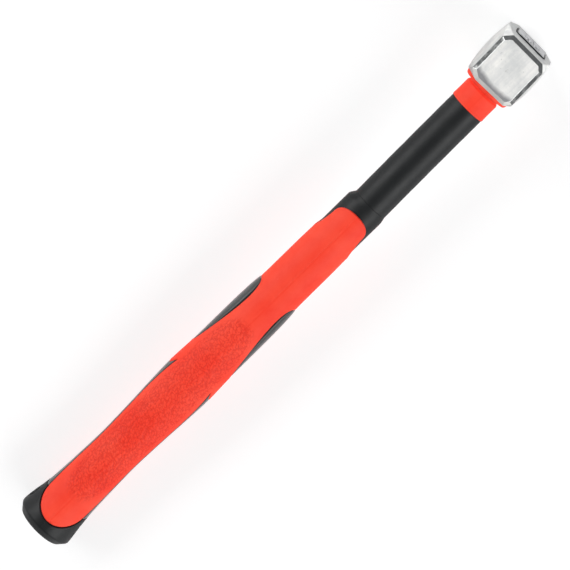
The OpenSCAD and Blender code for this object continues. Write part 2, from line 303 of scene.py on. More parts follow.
def edge_columns(a, b, count, fine_a=False, fine_b=False):
    """As graded, with a fixed number of inner columns, and squeezed where there is little room."""
    squeeze = min(1, abs(b - a) / 6)
    low = a + EDGE_STEPS * squeeze if fine_a else np.array([a])
    high = b - EDGE_STEPS[::-1] * squeeze if fine_b else np.array([b])
    inner = np.linspace(low[-1], high[0], count + 2)[1:-1]
    return np.concatenate([low, inner, high])


def shell(name, outer, inner, mask, shade_amounts=None):
    """A closed shell from two grids of points and a mask of the cells that it has."""
    rows, columns = outer.shape[:2]
    index = np.arange(rows * columns).reshape(rows, columns)
    shift = rows * columns
    faces = []
    seen = {}
    for i, j in zip(*np.nonzero(mask)):
        a, b, c, d = index[i, j], index[i, j + 1], index[i + 1, j + 1], index[i + 1, j]
        faces.append((a, b, c, d))
        faces.append((shift + d, shift + c, shift + b, shift + a))
        for edge in ((a, b), (b, c), (c, d), (d, a)):
            seen[edge] = True
    for a, b in seen:
        if (b, a) not in seen:
            faces.append((b, a, shift + a, shift + b))
    points = np.concatenate([outer.reshape(-1, 3), inner.reshape(-1, 3)])
    used = sorted({v for f in faces for v in f})
    renumber = {v: n for n, v in enumerate(used)}
    if shade_amounts is not None:
        shade_amounts = np.concatenate([shade_amounts.ravel(), np.zeros(shift)])[used]
    return make_object(name, to_frame(points[used]), [[renumber[v] for v in f] for f in faces], shade_amounts)


SAMPLE_STEP = 0.1  # between the points that stand for an edge


def edge_distance(points, mask, wrap=False):
    """Distance from each grid point to the nearest edge of the masked cells."""
    rows, columns = points.shape[:2]
    grown = np.zeros((rows + 1, columns + 1), bool)
    grown[1:-1, 1:-1] = mask
    if wrap:
        grown[1:-1, 0] = mask[:, -1]
        grown[1:-1, -1] = mask[:, 0]
    samples = []
    for starts, stops, is_edge in (
            (points[:, :-1], points[:, 1:], grown[1:, 1:-1] != grown[:-1, 1:-1]),  # along the rows
            (points[:-1], points[1:], grown[1:-1, 1:] != grown[1:-1, :-1])):  # along the columns
        for a, b in zip(starts[is_edge], stops[is_edge]):
            length = np.linalg.norm(b - a)
            if length > 1e-6:
                samples.extend(a + (b - a) * t for t in np.linspace(0, 1, int(length / SAMPLE_STEP) + 2))
    tree = KDTree(len(samples))
    for n, p in enumerate(samples):
        tree.insert(p, n)
    tree.balance()
    flat = points.reshape(-1, 3)
    return np.array([tree.find(p)[2] for p in flat]).reshape(rows, columns)


def fillet(distance, radius):
    """How far a rounded edge lies under the surface at this distance from the edge."""
    u = np.clip(distance / radius, 0, 1)
    return radius * (1 - np.sqrt(np.maximum(1 - (1 - u) ** 2, 0)))


def oval_loft(name, profile, columns=128, place=to_frame, drop=None, shade=None):
    """A closed body with the handle's oval section, from (s, half width) points. drop gives how much less deep
    it is at a place s, and shade its amount of painted shade there."""
    rings = []
    for s, r in profile:
        w = np.linspace(0, half_girth(r), columns // 2 + 1)
        y, z, _, _ = section(r, w)
        if drop:
            z = z * (1 - min(drop(s, r), r) / (r + FLAT))
        right = in_plane(s, y, z)
        rings.append(np.concatenate([right, right[-2:0:-1] * (1, -1, 1)]))
    shade_amounts = np.append(np.repeat([shade(s) for s, r in profile], columns), (0, 0)) if shade else None
    return loft(name, np.array(rings), place, shade_amounts)


def loft(name, rings, place=lambda p: p, shade_amounts=None):
    """A closed body through rings of the same number of points, with its ends filled."""
    rows, columns = rings.shape[:2]
    points = np.concatenate([rings.reshape(-1, 3), [rings[0].mean(0), rings[-1].mean(0)]])
    faces = grid_faces(rows, columns, close_columns=True)
    first, last = rows * columns, rows * columns + 1
    for j in range(columns):
        k = (j + 1) % columns
        faces.append((first, k, j))
        faces.append((last, (rows - 1) * columns + j, (rows - 1) * columns + k))
    return make_object(name, place(points), faces, shade_amounts)


def coordinates(mesh):
    """The mesh's points as an array, in metres."""
    co = np.zeros(len(mesh.vertices) * 3, np.float32)
    mesh.vertices.foreach_get("co", co)
    return co.reshape(-1, 3)


def apply_boolean(obj, cutter, operation="DIFFERENCE"):
    """Cuts obj with another mesh, or joins them, and removes the other mesh."""
    modifier = obj.modifiers.new("cut", "BOOLEAN")
    modifier.operation = operation
    modifier.object = cutter
    modifier.solver = "EXACT"
    bpy.context.view_layer.update()
    old = obj.data
    obj.data = bpy.data.meshes.new_from_object(obj.evaluated_get(bpy.context.evaluated_depsgraph_get()))
    obj.modifiers.clear()
    bpy.data.meshes.remove(old)
    bpy.data.objects.remove(cutter)


def sharp_by_angle(obj, degrees=35):
    """Keeps creases over this angle crisp and the rest smooth."""
    bm = bmesh.new()
    bm.from_mesh(obj.data)
    limit = math.radians(degrees)
    for edge in bm.edges:
        edge.smooth = not (len(edge.link_faces) == 2 and edge.calc_face_angle(0) > limit)
    for face in bm.faces:
        face.smooth = True
    bm.to_mesh(obj.data)
    bm.free()
    return obj


def corner_arc(before, corner, after, radius, steps, room):
    """Points around a corner that is rounded to a radius. Each rounding takes at most 1/room of a side."""
    a, b = before - corner, after - corner
    a_length, b_length = np.linalg.norm(a), np.linalg.norm(b)
    reach = min(radius, a_length / room, b_length / room)
    return [corner + a / a_length * reach * (1 - t) ** 2 + b / b_length * reach * t**2
            for t in np.linspace(0, 1, steps)]


def rounded(corners, radius, steps=5):
    """A polyline through 2-D corners, with each inner corner rounded to a radius."""
    pts = [np.array(c, float) for c in corners]
    out = [pts[0]]
    for before, corner, after in zip(pts, pts[1:], pts[2:]):
        out += corner_arc(before, corner, after, radius, steps, 2.05)
    return [*out, pts[-1]]


# --- The grip's grid ---

FRONT_COLUMNS = 44
WEDGE_COLUMNS = 3
SIDE_COLUMNS = 16
PEBBLE_STEP = 0.6  # between the grid's rings in the pebbled area
PEBBLE_HEIGHT = 0.55
PEBBLED = (45, 266)  # lower and upper end of the pebbled area
PEBBLED_HALF = 19.5
FINE_TOP = 272  # upper end of the fine grid
GATE = (33, -4.2)  # s and y of the dimple that the mould's gate left in the red skin
NICK = (17.6, -2.6)  # s and y of the nick in its lower end
SIDE_DEPTH = 4.5  # how far the pads and bands reach in under the grip's surface
PLAIN_STEP = 1.6  # and in the plain area above it


def side_lines(s, margin=0):
    """Arc lengths of the red skin's edge and of the tongue's edge at s, moved into the black by a margin."""
    r = grip_r(s)
    quarter = r * math.pi / 2
    edge = arc_at(r, skin_half(s)) if WINDOW[1] < s or s < WINDOW[0] else arc_at(r, r - window_reach(s))
    if s <= TONGUE_S:
        tongue = quarter
    elif s <= BAND_TOP:
        tongue = max(arc_at(r, tongue_half(s)), edge)
    else:
        tongue = edge
    in_black = s <= BAND_TOP or WINDOW[0] <= s <= WINDOW[1]
    if margin and in_black:
        if s > BAND_TOP:
            margin += WINDOW_GROOVE * window_reach(s) / WINDOW_DEPTH
        edge = min(edge + margin, quarter)
        if TONGUE_S < s <= BAND_TOP:
            tongue = max(tongue - margin, edge)
        tongue = max(tongue, edge)
    return edge, tongue, half_girth(r)


def half_ring(s, margin=0):
    """Arc lengths of all the columns of the right half, front to back."""
    edge, tongue, girth = side_lines(s, margin)
    front = edge_columns(0, edge, FRONT_COLUMNS, fine_b=True)
    wedge = edge_columns(edge, tongue, WEDGE_COLUMNS, fine_a=True)
    side = edge_columns(tongue, girth - tongue, SIDE_COLUMNS, fine_a=True, fine_b=True)
    first = np.concatenate([front, wedge[1:], side[1:]])
    rest = girth - np.concatenate([front, wedge[1:]])[::-1][1:]
    return np.concatenate([first, rest])


N_FRONT = FRONT_COLUMNS + len(EDGE_STEPS)
N_WEDGE = WEDGE_COLUMNS + len(EDGE_STEPS)
N_SIDE = SIDE_COLUMNS + 2 * len(EDGE_STEPS) - 1
# The zone of each column of cells in the right half: 0 front or back, 1 the wedges, 2 the side.
ZONES = np.repeat([0, 1, 2, 1, 0], [N_FRONT, N_WEDGE, N_SIDE, N_WEDGE, N_FRONT])


def tip_stations(tip, other, count=22):
    """Positions between a round end's tip and another place, closer together towards the tip."""
    u = np.linspace(0, 1, count) ** 2
    return np.sort(tip + (other - tip) * u)


def half_grid(stations, margin=0):
    """Points and outward normals of the right half of the grip's surface at these stations."""
    points, normals = [], []
    for s in stations:
        y, z, ny, nz = section(grip_r(s), half_ring(s, margin))
        points.append(in_plane(s, y, z))
        normals.append(in_plane(0, ny, nz))
    return np.array(points), np.array(normals)


def both_halves(grid):
    """The right half's grid, carried on over the left half and back to its start."""
    return np.concatenate([grid, (grid * (1, -1, 1))[:, -2::-1]], 1)


def pebble(point):
    """Height from 0 to 1 of the moulded worm-like pebbles at a point in millimetres."""
    p = Vector(point)
    warp = noise.noise_vector(p * 0.3) * 1.5 + noise.noise_vector(p * 0.75 + Vector((7, 3, 1))) * 0.6
    q = p + warp
    along, across = (q.x + q.y) * 0.707, (q.x - q.y) * 0.707
    distances, _ = noise.voronoi(Vector((along * 0.23, across * 0.42, q.z * 0.4)))
    ridge = min((distances[1] - distances[0]) / 0.34, 1)
    return ridge * ridge * (3 - 2 * ridge)


def pebble_zone(s, y):
    """1 inside the pebbled hand area and 0 outside, with soft edges: a rounded strip along front and back."""
    bottom, top = PEBBLED
    u = abs(s - (bottom + top) / 2) / ((top - bottom) / 2)
    v = abs(y) / PEBBLED_HALF
    level = (u**5 + v**3.2) ** (1 / 3.6)
    return float(np.clip((1.02 - level) / 0.09, 0, 1))


def grip_skin_piece():
    stations = np.unique(np.round(np.concatenate([
        tip_stations(SKIN_BOTTOM, CAP_TOP), graded(CAP_TOP, 50, 1.4), graded(50, TONGUE_S, PEBBLE_STEP, False, True),
        graded(TONGUE_S, BAND_TOP, PEBBLE_STEP, True, False),
        graded(BAND_TOP, WINDOW[0], PEBBLE_STEP, False, True), graded(WINDOW[0], FINE_TOP, PEBBLE_STEP, True, False),
        graded(FINE_TOP, WINDOW[1], PLAIN_STEP, False, True), graded(WINDOW[1], TOP_OPEN, PLAIN_STEP, True, True),
        graded(TOP_OPEN, TOP_CURVE_S, 0.8), tip_stations(SKIN_TOP, TOP_CURVE_S)]), 4))
    points, normals = (both_halves(grid) for grid in half_grid(stations))
    shade_amounts = np.zeros(points.shape[:2])
    middle = (stations[1:] + stations[:-1]) / 2
    wraps = ((middle > TONGUE_S) & (middle < WINDOW[0])) | ((middle > WINDOW[1]) & (middle < TOP_OPEN))
    in_wedges = ((middle > BAND_TOP) & (middle < WINDOW[0])) | (wraps & (middle > WINDOW[1]))
    half = np.stack([np.ones_like(wraps), in_wedges, wraps], 1)[:, ZONES]
    mask = np.concatenate([half, half[:, ::-1]], 1)
    distance = edge_distance(points, mask, wrap=True)
    lift = -fillet(distance, 1.1) + 0.12 * np.exp(-(((distance - 1.9) / 0.9) ** 2))
    for i, s in enumerate(stations):
        for j in range(points.shape[1]):
            weight = pebble_zone(s, points[i, j, 1])
            if weight > 0:
                height = pebble(points[i, j])
                lift[i, j] += weight * PEBBLE_HEIGHT * (height - 0.6)
                # painted shade in the hollows between the pebbles
                shade_amounts[i, j] = weight * max(1 - 1.5 * height, 0)
    painted_crease_shade = 1.2 * np.clip(1 - distance / 1.1, 0, 1)  # painted shade along the edge of the upper end
    shade_amounts = np.where((stations > TOP_OPEN)[:, None], painted_crease_shade, shade_amounts)
    gate_s, gate_y = GATE
    gate = np.linalg.norm(points - (gate_s, gate_y, FLAT + grip_r(gate_s)), axis=2)
    lift -= 0.45 * np.exp(-((gate / 1.3) ** 2))
    nick_s, nick_y = NICK
    nick = np.exp(-(((points[..., 1] - nick_y) / 0.9) ** 2)) * np.clip((nick_s - points[..., 0]) / 1.6, 0, 1)
    lift -= 0.8 * nick * (points[..., 2] > 0)
    outer = points + normals * lift[..., None]
    room = grip_r(stations) - base_r(stations) - 0.03
    thickness = np.minimum(SKIN_T, room)[:, None]
    thickness = thickness + ledge_drop(stations)[:, None] * normals[..., 2] ** 2
    inner = points - normals * thickness[..., None]
    return shell("grip_skin_red", outer, inner, mask, shade_amounts)


def side_piece(name, side, stations, cells, profile):
    """A black pad or band at one side of the grip. cells says which zones it has at a place s. profile gives how
    far it stands out, from s, the distance to its edge and the share of the way from its sides to its middle."""
    points, normals = (grid * (1, side, 1) for grid in half_grid(stations, GROOVE))
    middle = (stations[1:] + stations[:-1]) / 2
    mask = np.array([np.isin(ZONES, cells(s)) for s in middle])
    keep = np.nonzero(mask.any(0))[0]
    first, last = keep[0], keep[-1] + 1
    points, normals, mask = points[:, first:last + 1], normals[:, first:last + 1], mask[:, first:last]
    across = np.array([half_ring(s, GROOVE)[first:last + 1] for s in stations])
    share = 1 - np.abs(2 * (across - across[:, :1]) / (across[:, -1:] - across[:, :1]) - 1)
    lift = profile(stations[:, None], edge_distance(points, mask), share)
    outer = points + normals * lift[..., None]
    inner = points - normals * SIDE_DEPTH
    return shell(name, outer, inner, mask)


def side_pad(name, side):
    """The domed pad in an upper window."""
    def profile(s, distance, share):
        size = window_reach(s) / WINDOW_DEPTH
        wall = 1 - (1 - np.clip(share / 0.16, 0, 1)) ** 2
        dome = np.sin(np.pi / 2 * share)
        return size * (-2.6 + 2.0 * wall + (0.6 + PAD_BULGE) * dome) - 0.05 - fillet(distance, 0.5)
    stations = np.round(graded(WINDOW[0] + 1.5, WINDOW[1] - 0.4, 1.0, True, True), 4)
    return side_piece(name, side, stations, lambda s: (1, 2), profile)


def side_band(name, side):
    """The thin band down the lower grip, with the slanted tongue at its upper end."""
    end = TONGUE_S - GROOVE
    stations = np.unique(np.round(np.concatenate([
        graded(CAP_TOP + CLEAR, end, 1.6, False, True), graded(end, BAND_TOP - 1.2, 0.7)]), 4))
    return side_piece(name, side, stations, lambda s: (1, 2) if s < end else (1,),
                      lambda s, distance, share: -0.1 - fillet(distance, 0.55))


def grip_base_piece():
    """The black moulding under the skin, and the rounded ledge above it."""
    end = BASE_TOP + 2.5
    body = [(s, base_r(s)) for s in graded(CAP_TOP + CLEAR, LEDGE_TOP - 4, 2.0)]
    shoulder = rounded([(LEDGE_TOP - 3, LEDGE_R), (LEDGE_TOP, LEDGE_R), (BASE_TOP + 1.0, SHAFT_R + 0.1),
                        (end, SHAFT_R + 0.02)], 1.6, 9)
    profile = [(body[0][0], 0), *body, *map(tuple, shoulder), (end, 0)]

    def drop(s, r):
        """Brings the ledge's front and back down to the shaft's, and keeps them there along the shoulder."""
        flatter = ledge_drop(s)
        return flatter * max(r - SHAFT_R, 0) / (LEDGE_R - SHAFT_R) if s > LEDGE_TOP - SHOULDER_REACH else flatter

    return oval_loft("grip_base_black", profile, 144, leaning, drop)


# --- The butt cap ---


def cap_profile():
    """(s, half width) from the cap's upper end down its side, around the chamfer and over the flat end."""
    flat_half = CAP_HI[1] - 5.5
    widest, edge, dish = 9.5, 6.9, 0.9
    side = [(s, grip_r(s)) for s in graded(CAP_TOP, widest, -1.1)]
    end = rounded([(widest, grip_r(widest)), (edge, CAP_HI[1]), (0, flat_half), (0.25, flat_half - 6),
                   (dish, flat_half - 8), (dish, 0.6)], 1.5, 6)
    return side[:-1] + [tuple(p) for p in end] + [(dish, 0.0)]


def butt_cap_piece():
    tip = SKIN_BOTTOM - CAP_GROOVE
    profile = [(s, grip_r(s)) for s in tip_stations(tip, CAP_TOP)[::-1]]
    profile += [p for p in cap_profile() if p[0] < tip - 0.3]
    wall = 6
    columns = 52
    rows, inner_rows = [], []
    for s, r in profile:
        girth = half_girth(r)
        start = arc_at(r, ellipse_half(s, CAP_GROOVE)) if s > tip else 0
        w = edge_columns(start, girth - start, columns, True, True)
        r_in = max(r - wall, 0) if s > wall else r * (1 - wall / CAP_HI[1])
        start_in = start * r_in / r if r > 0 else 0
        w_in = np.interp(w, [start, girth - start], [start_in, half_girth(r_in) - start_in])
        rows.append(in_plane(s, *section(r, w)[:2]))
        inner_rows.append(in_plane(max(s, wall), *section(r_in, w_in)[:2]))
    points, inner = (np.concatenate([half, (half * (1, -1, 1))[:, ::-1]], 1)
                     for half in (np.array(rows), np.array(inner_rows)))
    mask = np.ones((points.shape[0] - 1, points.shape[1] - 1), bool)
    mask[:, points.shape[1] // 2 - 1] = False  # the gap between the halves at the back
    joined = edge_distance(points, mask)
    beyond_tip = points[..., 0] < tip - 1.2
    drop = np.where(beyond_tip | (points[..., 0] > CAP_TOP - 0.6), 0, fillet(joined, 0.9))
    y, z = points[..., 1], points[..., 2]
    length = np.maximum(np.hypot(y, z), 1e-9)
    outer = points.copy()
    outer[..., 1] -= drop * y / length
    outer[..., 2] -= drop * z / length
    cap = shell("butt_cap_black", outer, inner, mask)
    under_skin = [(s, grip_r(s) - SKIN_T - CLEAR) for s in graded(10, CAP_TOP, 2.5)]
    plug = oval_loft("cap_plug", [(8, 0), (8, 16), *under_skin, (CAP_TOP, 0)], 112)
    apply_boolean(cap, plug, "UNION")
    apply_boolean(cap, lanyard_cutter())
    return sharp_by_angle(cap, 40)


MOUTH_STRETCH = (2.3, 0.4)  # how far the mouth opens out towards the upper and the lower face


def lanyard_cutter():
    """The lanyard hole with a trumpet mouth at each end, as a solid to cut away."""
    mount = MOUNTS["lanyard_hole"]
    centre = np.array(mount["pos_m"]) / MM
    bore = mount["dims"]["r_mm"]
    straight, reach, steps, around = 19.0, 9.0, 12, 56
    stations = [(0.0, 0.0), (straight, 0.0)]
    for angle in np.linspace(0, 1, steps)[1:] * math.pi * 0.44:
        stations.append((straight + reach * math.sin(angle), reach * (1 - math.cos(angle))))
    stations.append((straight + reach + 8, stations[-1][1] + 9))
    both = [(-d, r) for d, r in stations[:0:-1]] + stations
    turn = np.linspace(0, 2 * np.pi, around, endpoint=False)
    upright = np.where(np.sin(turn) > 0, *MOUTH_STRETCH)
    rings = np.array([np.stack([(bore + flare) * np.cos(turn), np.full(around, d),
                                (bore + flare * upright) * np.sin(turn)], 1) for d, flare in both])
    return loft("lanyard_cutter", rings, lambda p: np.asarray(p) + centre)


# --- Shaft and collar ---


def shaft_sleeve_piece():
    stations = graded(BASE_TOP, COLLAR_S - CLEAR, 2.0, True, True)
    body = [(s, SHAFT_R + 0.04 * math.sin(s * 0.21) + 0.03 * math.sin(s * 0.53 + 1)) for s in stations]
    return oval_loft("shaft_sleeve_black", [(stations[0], 0), *body, (stations[-1], 0)], 128, leaning)


def head_collar_piece():
    r = COLLAR_HI[1]
    tube_r = 17.2
    under = NECK_S - CLEAR
    outline = rounded([(COLLAR_S, tube_r - 1.6), (COLLAR_S, tube_r + 0.25), (COLLAR_S + 6, tube_r),
                       (NECK_S - 8.8, tube_r), (NECK_S - 7.6, tube_r - 1.3), (NECK_S - 6.2, tube_r - 1.2),
                       (NECK_S - 5.3, r - 1.5), (NECK_S - 3.4, r - 0.7), (under, r), (under, r - 3)], 1.2, 6)
    body = []
    for (s0, r0), (s1, r1) in zip(outline, outline[1:]):
        count = max(int(math.hypot(s1 - s0, r1 - r0) / 0.7), 1)
        body += [(s0 + (s1 - s0) * t / count, r0 + (r1 - r0) * t / count) for t in range(count)]
    profile = [(COLLAR_S, 0), *body, tuple(outline[-1]), (under, 0)]

    def painted_crease_shade(s):
        """Painted shade lies in the groove under the flange and along the joint with the head."""
        in_groove = math.exp(-(((s - NECK_S + 6.6) / 0.9) ** 2))
        at_head = math.exp(-(((s - NECK_S + 0.6) / 1.3) ** 2))
        return 0.75 * in_groove + 1.3 * at_head

    def under_head(points):
        """Slants the flange's upper end to lie against the head."""
        points = np.array(points, float)
        share = np.clip((points[..., 0] - (NECK_S - 5)) / 5, 0, 1)
        points[..., 0] -= points[..., 1] * math.tan(HEAD_TURN) * share
        return leaning(points)

    return oval_loft("head_collar_red", profile, 128, under_head, shade=painted_crease_shade)


# --- Head ---

FACE_HALF = (24.5, 23.2)  # half height along X and half width along Y of a face, with its bevel
FACE_BEVEL = 3.6  # how far in a bevel reaches
BEVEL_DEPTH = 3.25  # and how far down from the face
# How much each corner is cut off along X and along Y at a face. The hand-ground corners differ.
FACE_CUTS = [(7.0, 6.5), (5.6, 8.4), (6.0, 5.2), (5.9, 5.5)]
QUADRANTS = [(1, 1), (-1, 1), (-1, -1), (1, -1)]
CHEEK_HALF = 24.6  # half width at a cheek's edges; its middle is crowned out to the full width
CHAMFER_START = 14  # height above the axis where the corner chamfers begin
LEAST_CUT = 0.05  # so that every outline has eight corners
CORNER_ROUND = 0.9
CORNER_ROOM = 2.1  # a rounding takes at most a side's length divided by this
SEAT_CORNER = 6  # corner radius of the locking plate's seat
HEAD_TURN = math.radians(1.7)  # the head sits a little askew on the handle
HEAD_SHIFT = 0.8  # and this far to the side


def with_supports(path, reach=0.12, shortest=1.0):
    """The path with a point added close to each end of every long stretch, to keep the stretch flat."""
    out = [np.array(path[0], float)]
    for a, b in zip(path, path[1:]):
        a, b = np.array(a, float), np.array(b, float)
        if np.linalg.norm(b - a) > shortest:
            out += [a + (b - a) * reach, b + (a - b) * reach]
        out.append(b)
    return out


def inset_cuts(cuts, inset):
    """The corner cuts that are left when every side of the octagon moves in by this much."""
    out = []
    for cx, cy in cuts:
        gain = inset * (cx + cy - math.hypot(cx, cy))
        out.append((cx - gain / cy, cy - gain / cx))
    return out


def head_outline(half_x, half_y, cuts, crown):
    """Points around the head at one height: an octagon with rounded corners and crowned cheeks."""
    corners = []
    for (sx, sy), (cx, cy) in zip(QUADRANTS, cuts):
        on_end = (sx * half_x, sy * (half_y - max(cy, LEAST_CUT)))
        on_cheek = (sx * (half_x - max(cx, LEAST_CUT)), sy * half_y)
        corners += [on_end, on_cheek] if sx == sy else [on_cheek, on_end]
    sides = len(corners)
    out = []
    for k in range(sides):
        before, corner, after = (np.array(corners[(k + n) % sides], float) for n in (-1, 0, 1))
        out += corner_arc(before, corner, after, CORNER_ROUND, 5, CORNER_ROOM)
        start = out[-1]
        length = np.linalg.norm(corner - after)
        stop = after + (corner - after) / length * min(CORNER_ROUND, length / CORNER_ROOM)
        count = 4 if k % 2 == 0 else 15  # more on the four long sides
        out.extend(start + (stop - start) * t for t in np.linspace(0, 1, count + 2)[1:-1])
    out = np.array(out)
    bulge = crown * np.clip(1 - (out[:, 0] / half_x) ** 2, 0, 1)
    out[:, 1] += np.sign(out[:, 1]) * bulge * np.clip(np.abs(out[:, 1]) / half_y, 0, 1) ** 6
    return out


def head_rings():
    half = AXIS_Z
    full = (HEAD_HI[0], CHEEK_HALF)
    crown_mid = HEAD_HI[1] - full[1]
    height = half - BEVEL_DEPTH - 0.2
    rings = []

    def add_ring(outline, d):
        rings.append(np.column_stack([outline, np.full(len(outline), d)]))

    for d in np.linspace(0, height, 15):
        u = max((d - CHAMFER_START) / (height - CHAMFER_START), 0)
        cuts = [(cx * u, cy * u) for cx, cy in FACE_CUTS]
        add_ring(head_outline(full[0] + (FACE_HALF[0] - full[0]) * u, full[1] + (FACE_HALF[1] - full[1]) * u, cuts,
                              crown_mid * (1 - u) ** 1.1), d)
    bevel = rounded([(height, 0), (height + 0.25, 0.05), (half - 0.05, FACE_BEVEL - 0.1),
                     (half + 0.03, FACE_BEVEL + 1.2)], 0.25, 5)[1:]
    for d, inset in with_supports(bevel):
        outline = head_outline(FACE_HALF[0] - inset, FACE_HALF[1] - inset, inset_cuts(FACE_CUTS, inset), 0)
        add_ring(outline, d)
    for share in np.linspace(1, 0, 9)[1:]:
        add_ring(outline * max(share, 0.001), half + 0.03 + 0.22 * (1 - share**2))
    upper = np.array(rings)
    lower = upper[::-1][:-1] * (1, 1, -1)
    return np.concatenate([lower, upper])


def bar_rings(levels):
    """Rings of a bar along X from (x, half width, half length, corner radius), centred on the handle's axis."""
    rings = []
    arc = np.linspace(0, np.pi / 2, 9)
    for x, half_y, half_z, corner in levels:
        outline = []
        for k, (sy, sz) in enumerate(QUADRANTS):
            turn = arc + k * np.pi / 2
            outline.append(in_plane(x, sy * (half_y - corner) + corner * np.cos(turn),
                                    sz * (half_z - corner) + corner * np.sin(turn)))
        rings.append(np.concatenate(outline))
    return np.array(rings)


def at_head(points):
    """Places points drawn about the head's middle, which lies a little off the handle's axis."""
    return np.asarray(points, float) + (0, HEAD_SHIFT, AXIS_Z)


def askew(points):
    """As at_head, with the cheeks and the underside leaning by the head's turn, and the top left square."""
    points = np.array(points, float)
    x, y = points[..., 0].copy(), points[..., 1].copy()
    lean = math.tan(HEAD_TURN)
    points[..., 0] -= y * lean * np.clip(0.5 - x / (HEAD_HI[0] - HEAD_LO[0]), 0, 1)
    points[..., 1] += x * lean
    return at_head(points)


def box_halves(lo, hi):
    return (hi[1] - lo[1]) / 2, (hi[2] - lo[2]) / 2


def head_piece():
    head = loft("head_forged", head_rings(), askew)
    eye_y, eye_z = (size + CLEAR for size in box_halves(FILLER_LO, FILLER_HI))
    seat_y, seat_z = (size + CLEAR for size in box_halves(SEAL_LO, SEAL_HI))
    bottom, top, seat = HEAD_LO[0], HEAD_HI[0], SEAL_LO[0]
    eye = loft("eye_cutter", bar_rings([
        (bottom - 2, eye_y, eye_z, eye_y), (seat - 0.4, eye_y, eye_z, eye_y), (seat, seat_y, seat_z, SEAT_CORNER),
        (top - 0.5, seat_y, seat_z, SEAT_CORNER), (top + 0.6, seat_y + 1, seat_z + 1, SEAT_CORNER + 1),
        (top + 3, seat_y + 1, seat_z + 1, SEAT_CORNER + 1)]), at_head)
    apply_boolean(head, eye)
    sharp_by_angle(head, 24)
    add_face_uv(head)
    return head


def add_face_uv(obj):
    """A plain map whose U runs across the handle, so that grinding marks run along it."""
    layer = obj.data.uv_layers.new(name="UVMap")
    co = coordinates(obj.data)
    index = np.zeros(len(obj.data.loops), np.int32)
    obj.data.loops.foreach_get("vertex_index", index)
    uv = np.stack([co[index, 1] * 8 + 0.5, co[index, 0] * 8 + co[index, 2] * 3 + 0.5], 1)
    layer.data.foreach_set("uv", uv.astype(np.float32).ravel())


def rod_places():
    """(y, z) of the rods' middles, in millimetres."""
    places = []
    for k in range(1, 7):
        lo, hi = node_box(f"core_rod_{k}")
        places.append(((lo[1] + hi[1]) / 2, (lo[2] + hi[2]) / 2))
    return places


def locking_plate_piece():
    half_y, half_z = box_halves(PLATE_LO, PLATE_HI)
    corner = SEAT_CORNER - (box_halves(SEAL_LO, SEAL_HI)[0] - half_y)
    edge = rounded([(PLATE_LO[0], 0), (PLATE_HI[0], 0), (PLATE_HI[0], 3)], 1.1, 6)
    levels = [(x, half_y - inset, half_z - inset, corner - inset) for x, inset in edge]
    return sharp_by_angle(loft("locking_plate", bar_rings(levels), at_head), 40)


def plate_seal_piece():
    half_y, half_z = box_halves(SEAL_LO, SEAL_HI)
    low, high = SEAL_LO[0], SEAL_HI[0]
    t = half_y - box_halves(PLATE_LO, PLATE_HI)[0] - 0.05
    loop = rounded([(low, 0), (high, 0), (high, t), (low, t)], 0.6, 5)
    rings = bar_rings([(x, half_y - inset, half_z - inset, SEAT_CORNER - inset) for x, inset in loop])
    faces = grid_faces(*rings.shape[:2], True, True)
    return make_object("plate_seal_rubber", at_head(rings.reshape(-1, 3)), faces)


# Height over the plate and radius, from a rivet's foot to its top.
RIVET = [(-0.4, 3.8), (0.4, 4.1), (0.8, 3.9), (1.05, 3.2), (1.18, 2.0), (1.22, 0.9)]


def rivet_piece(k, place):
    """The peened end of one rod over the locking plate."""
    y, z = place
    turn = np.linspace(0, 2 * np.pi, 28, endpoint=False)
    wobble = 1 + 0.035 * np.sin(3 * turn + k * 1.7) + 0.02 * np.sin(5 * turn + k)
    rings = [in_plane(PLATE_HI[0] + x, y + HEAD_SHIFT / 2 + r * wobble * np.cos(turn), z + r * wobble * np.sin(turn))
             for x, r in RIVET]
    return loft(f"rivet_{k}", np.array(rings))


# --- Materials ---


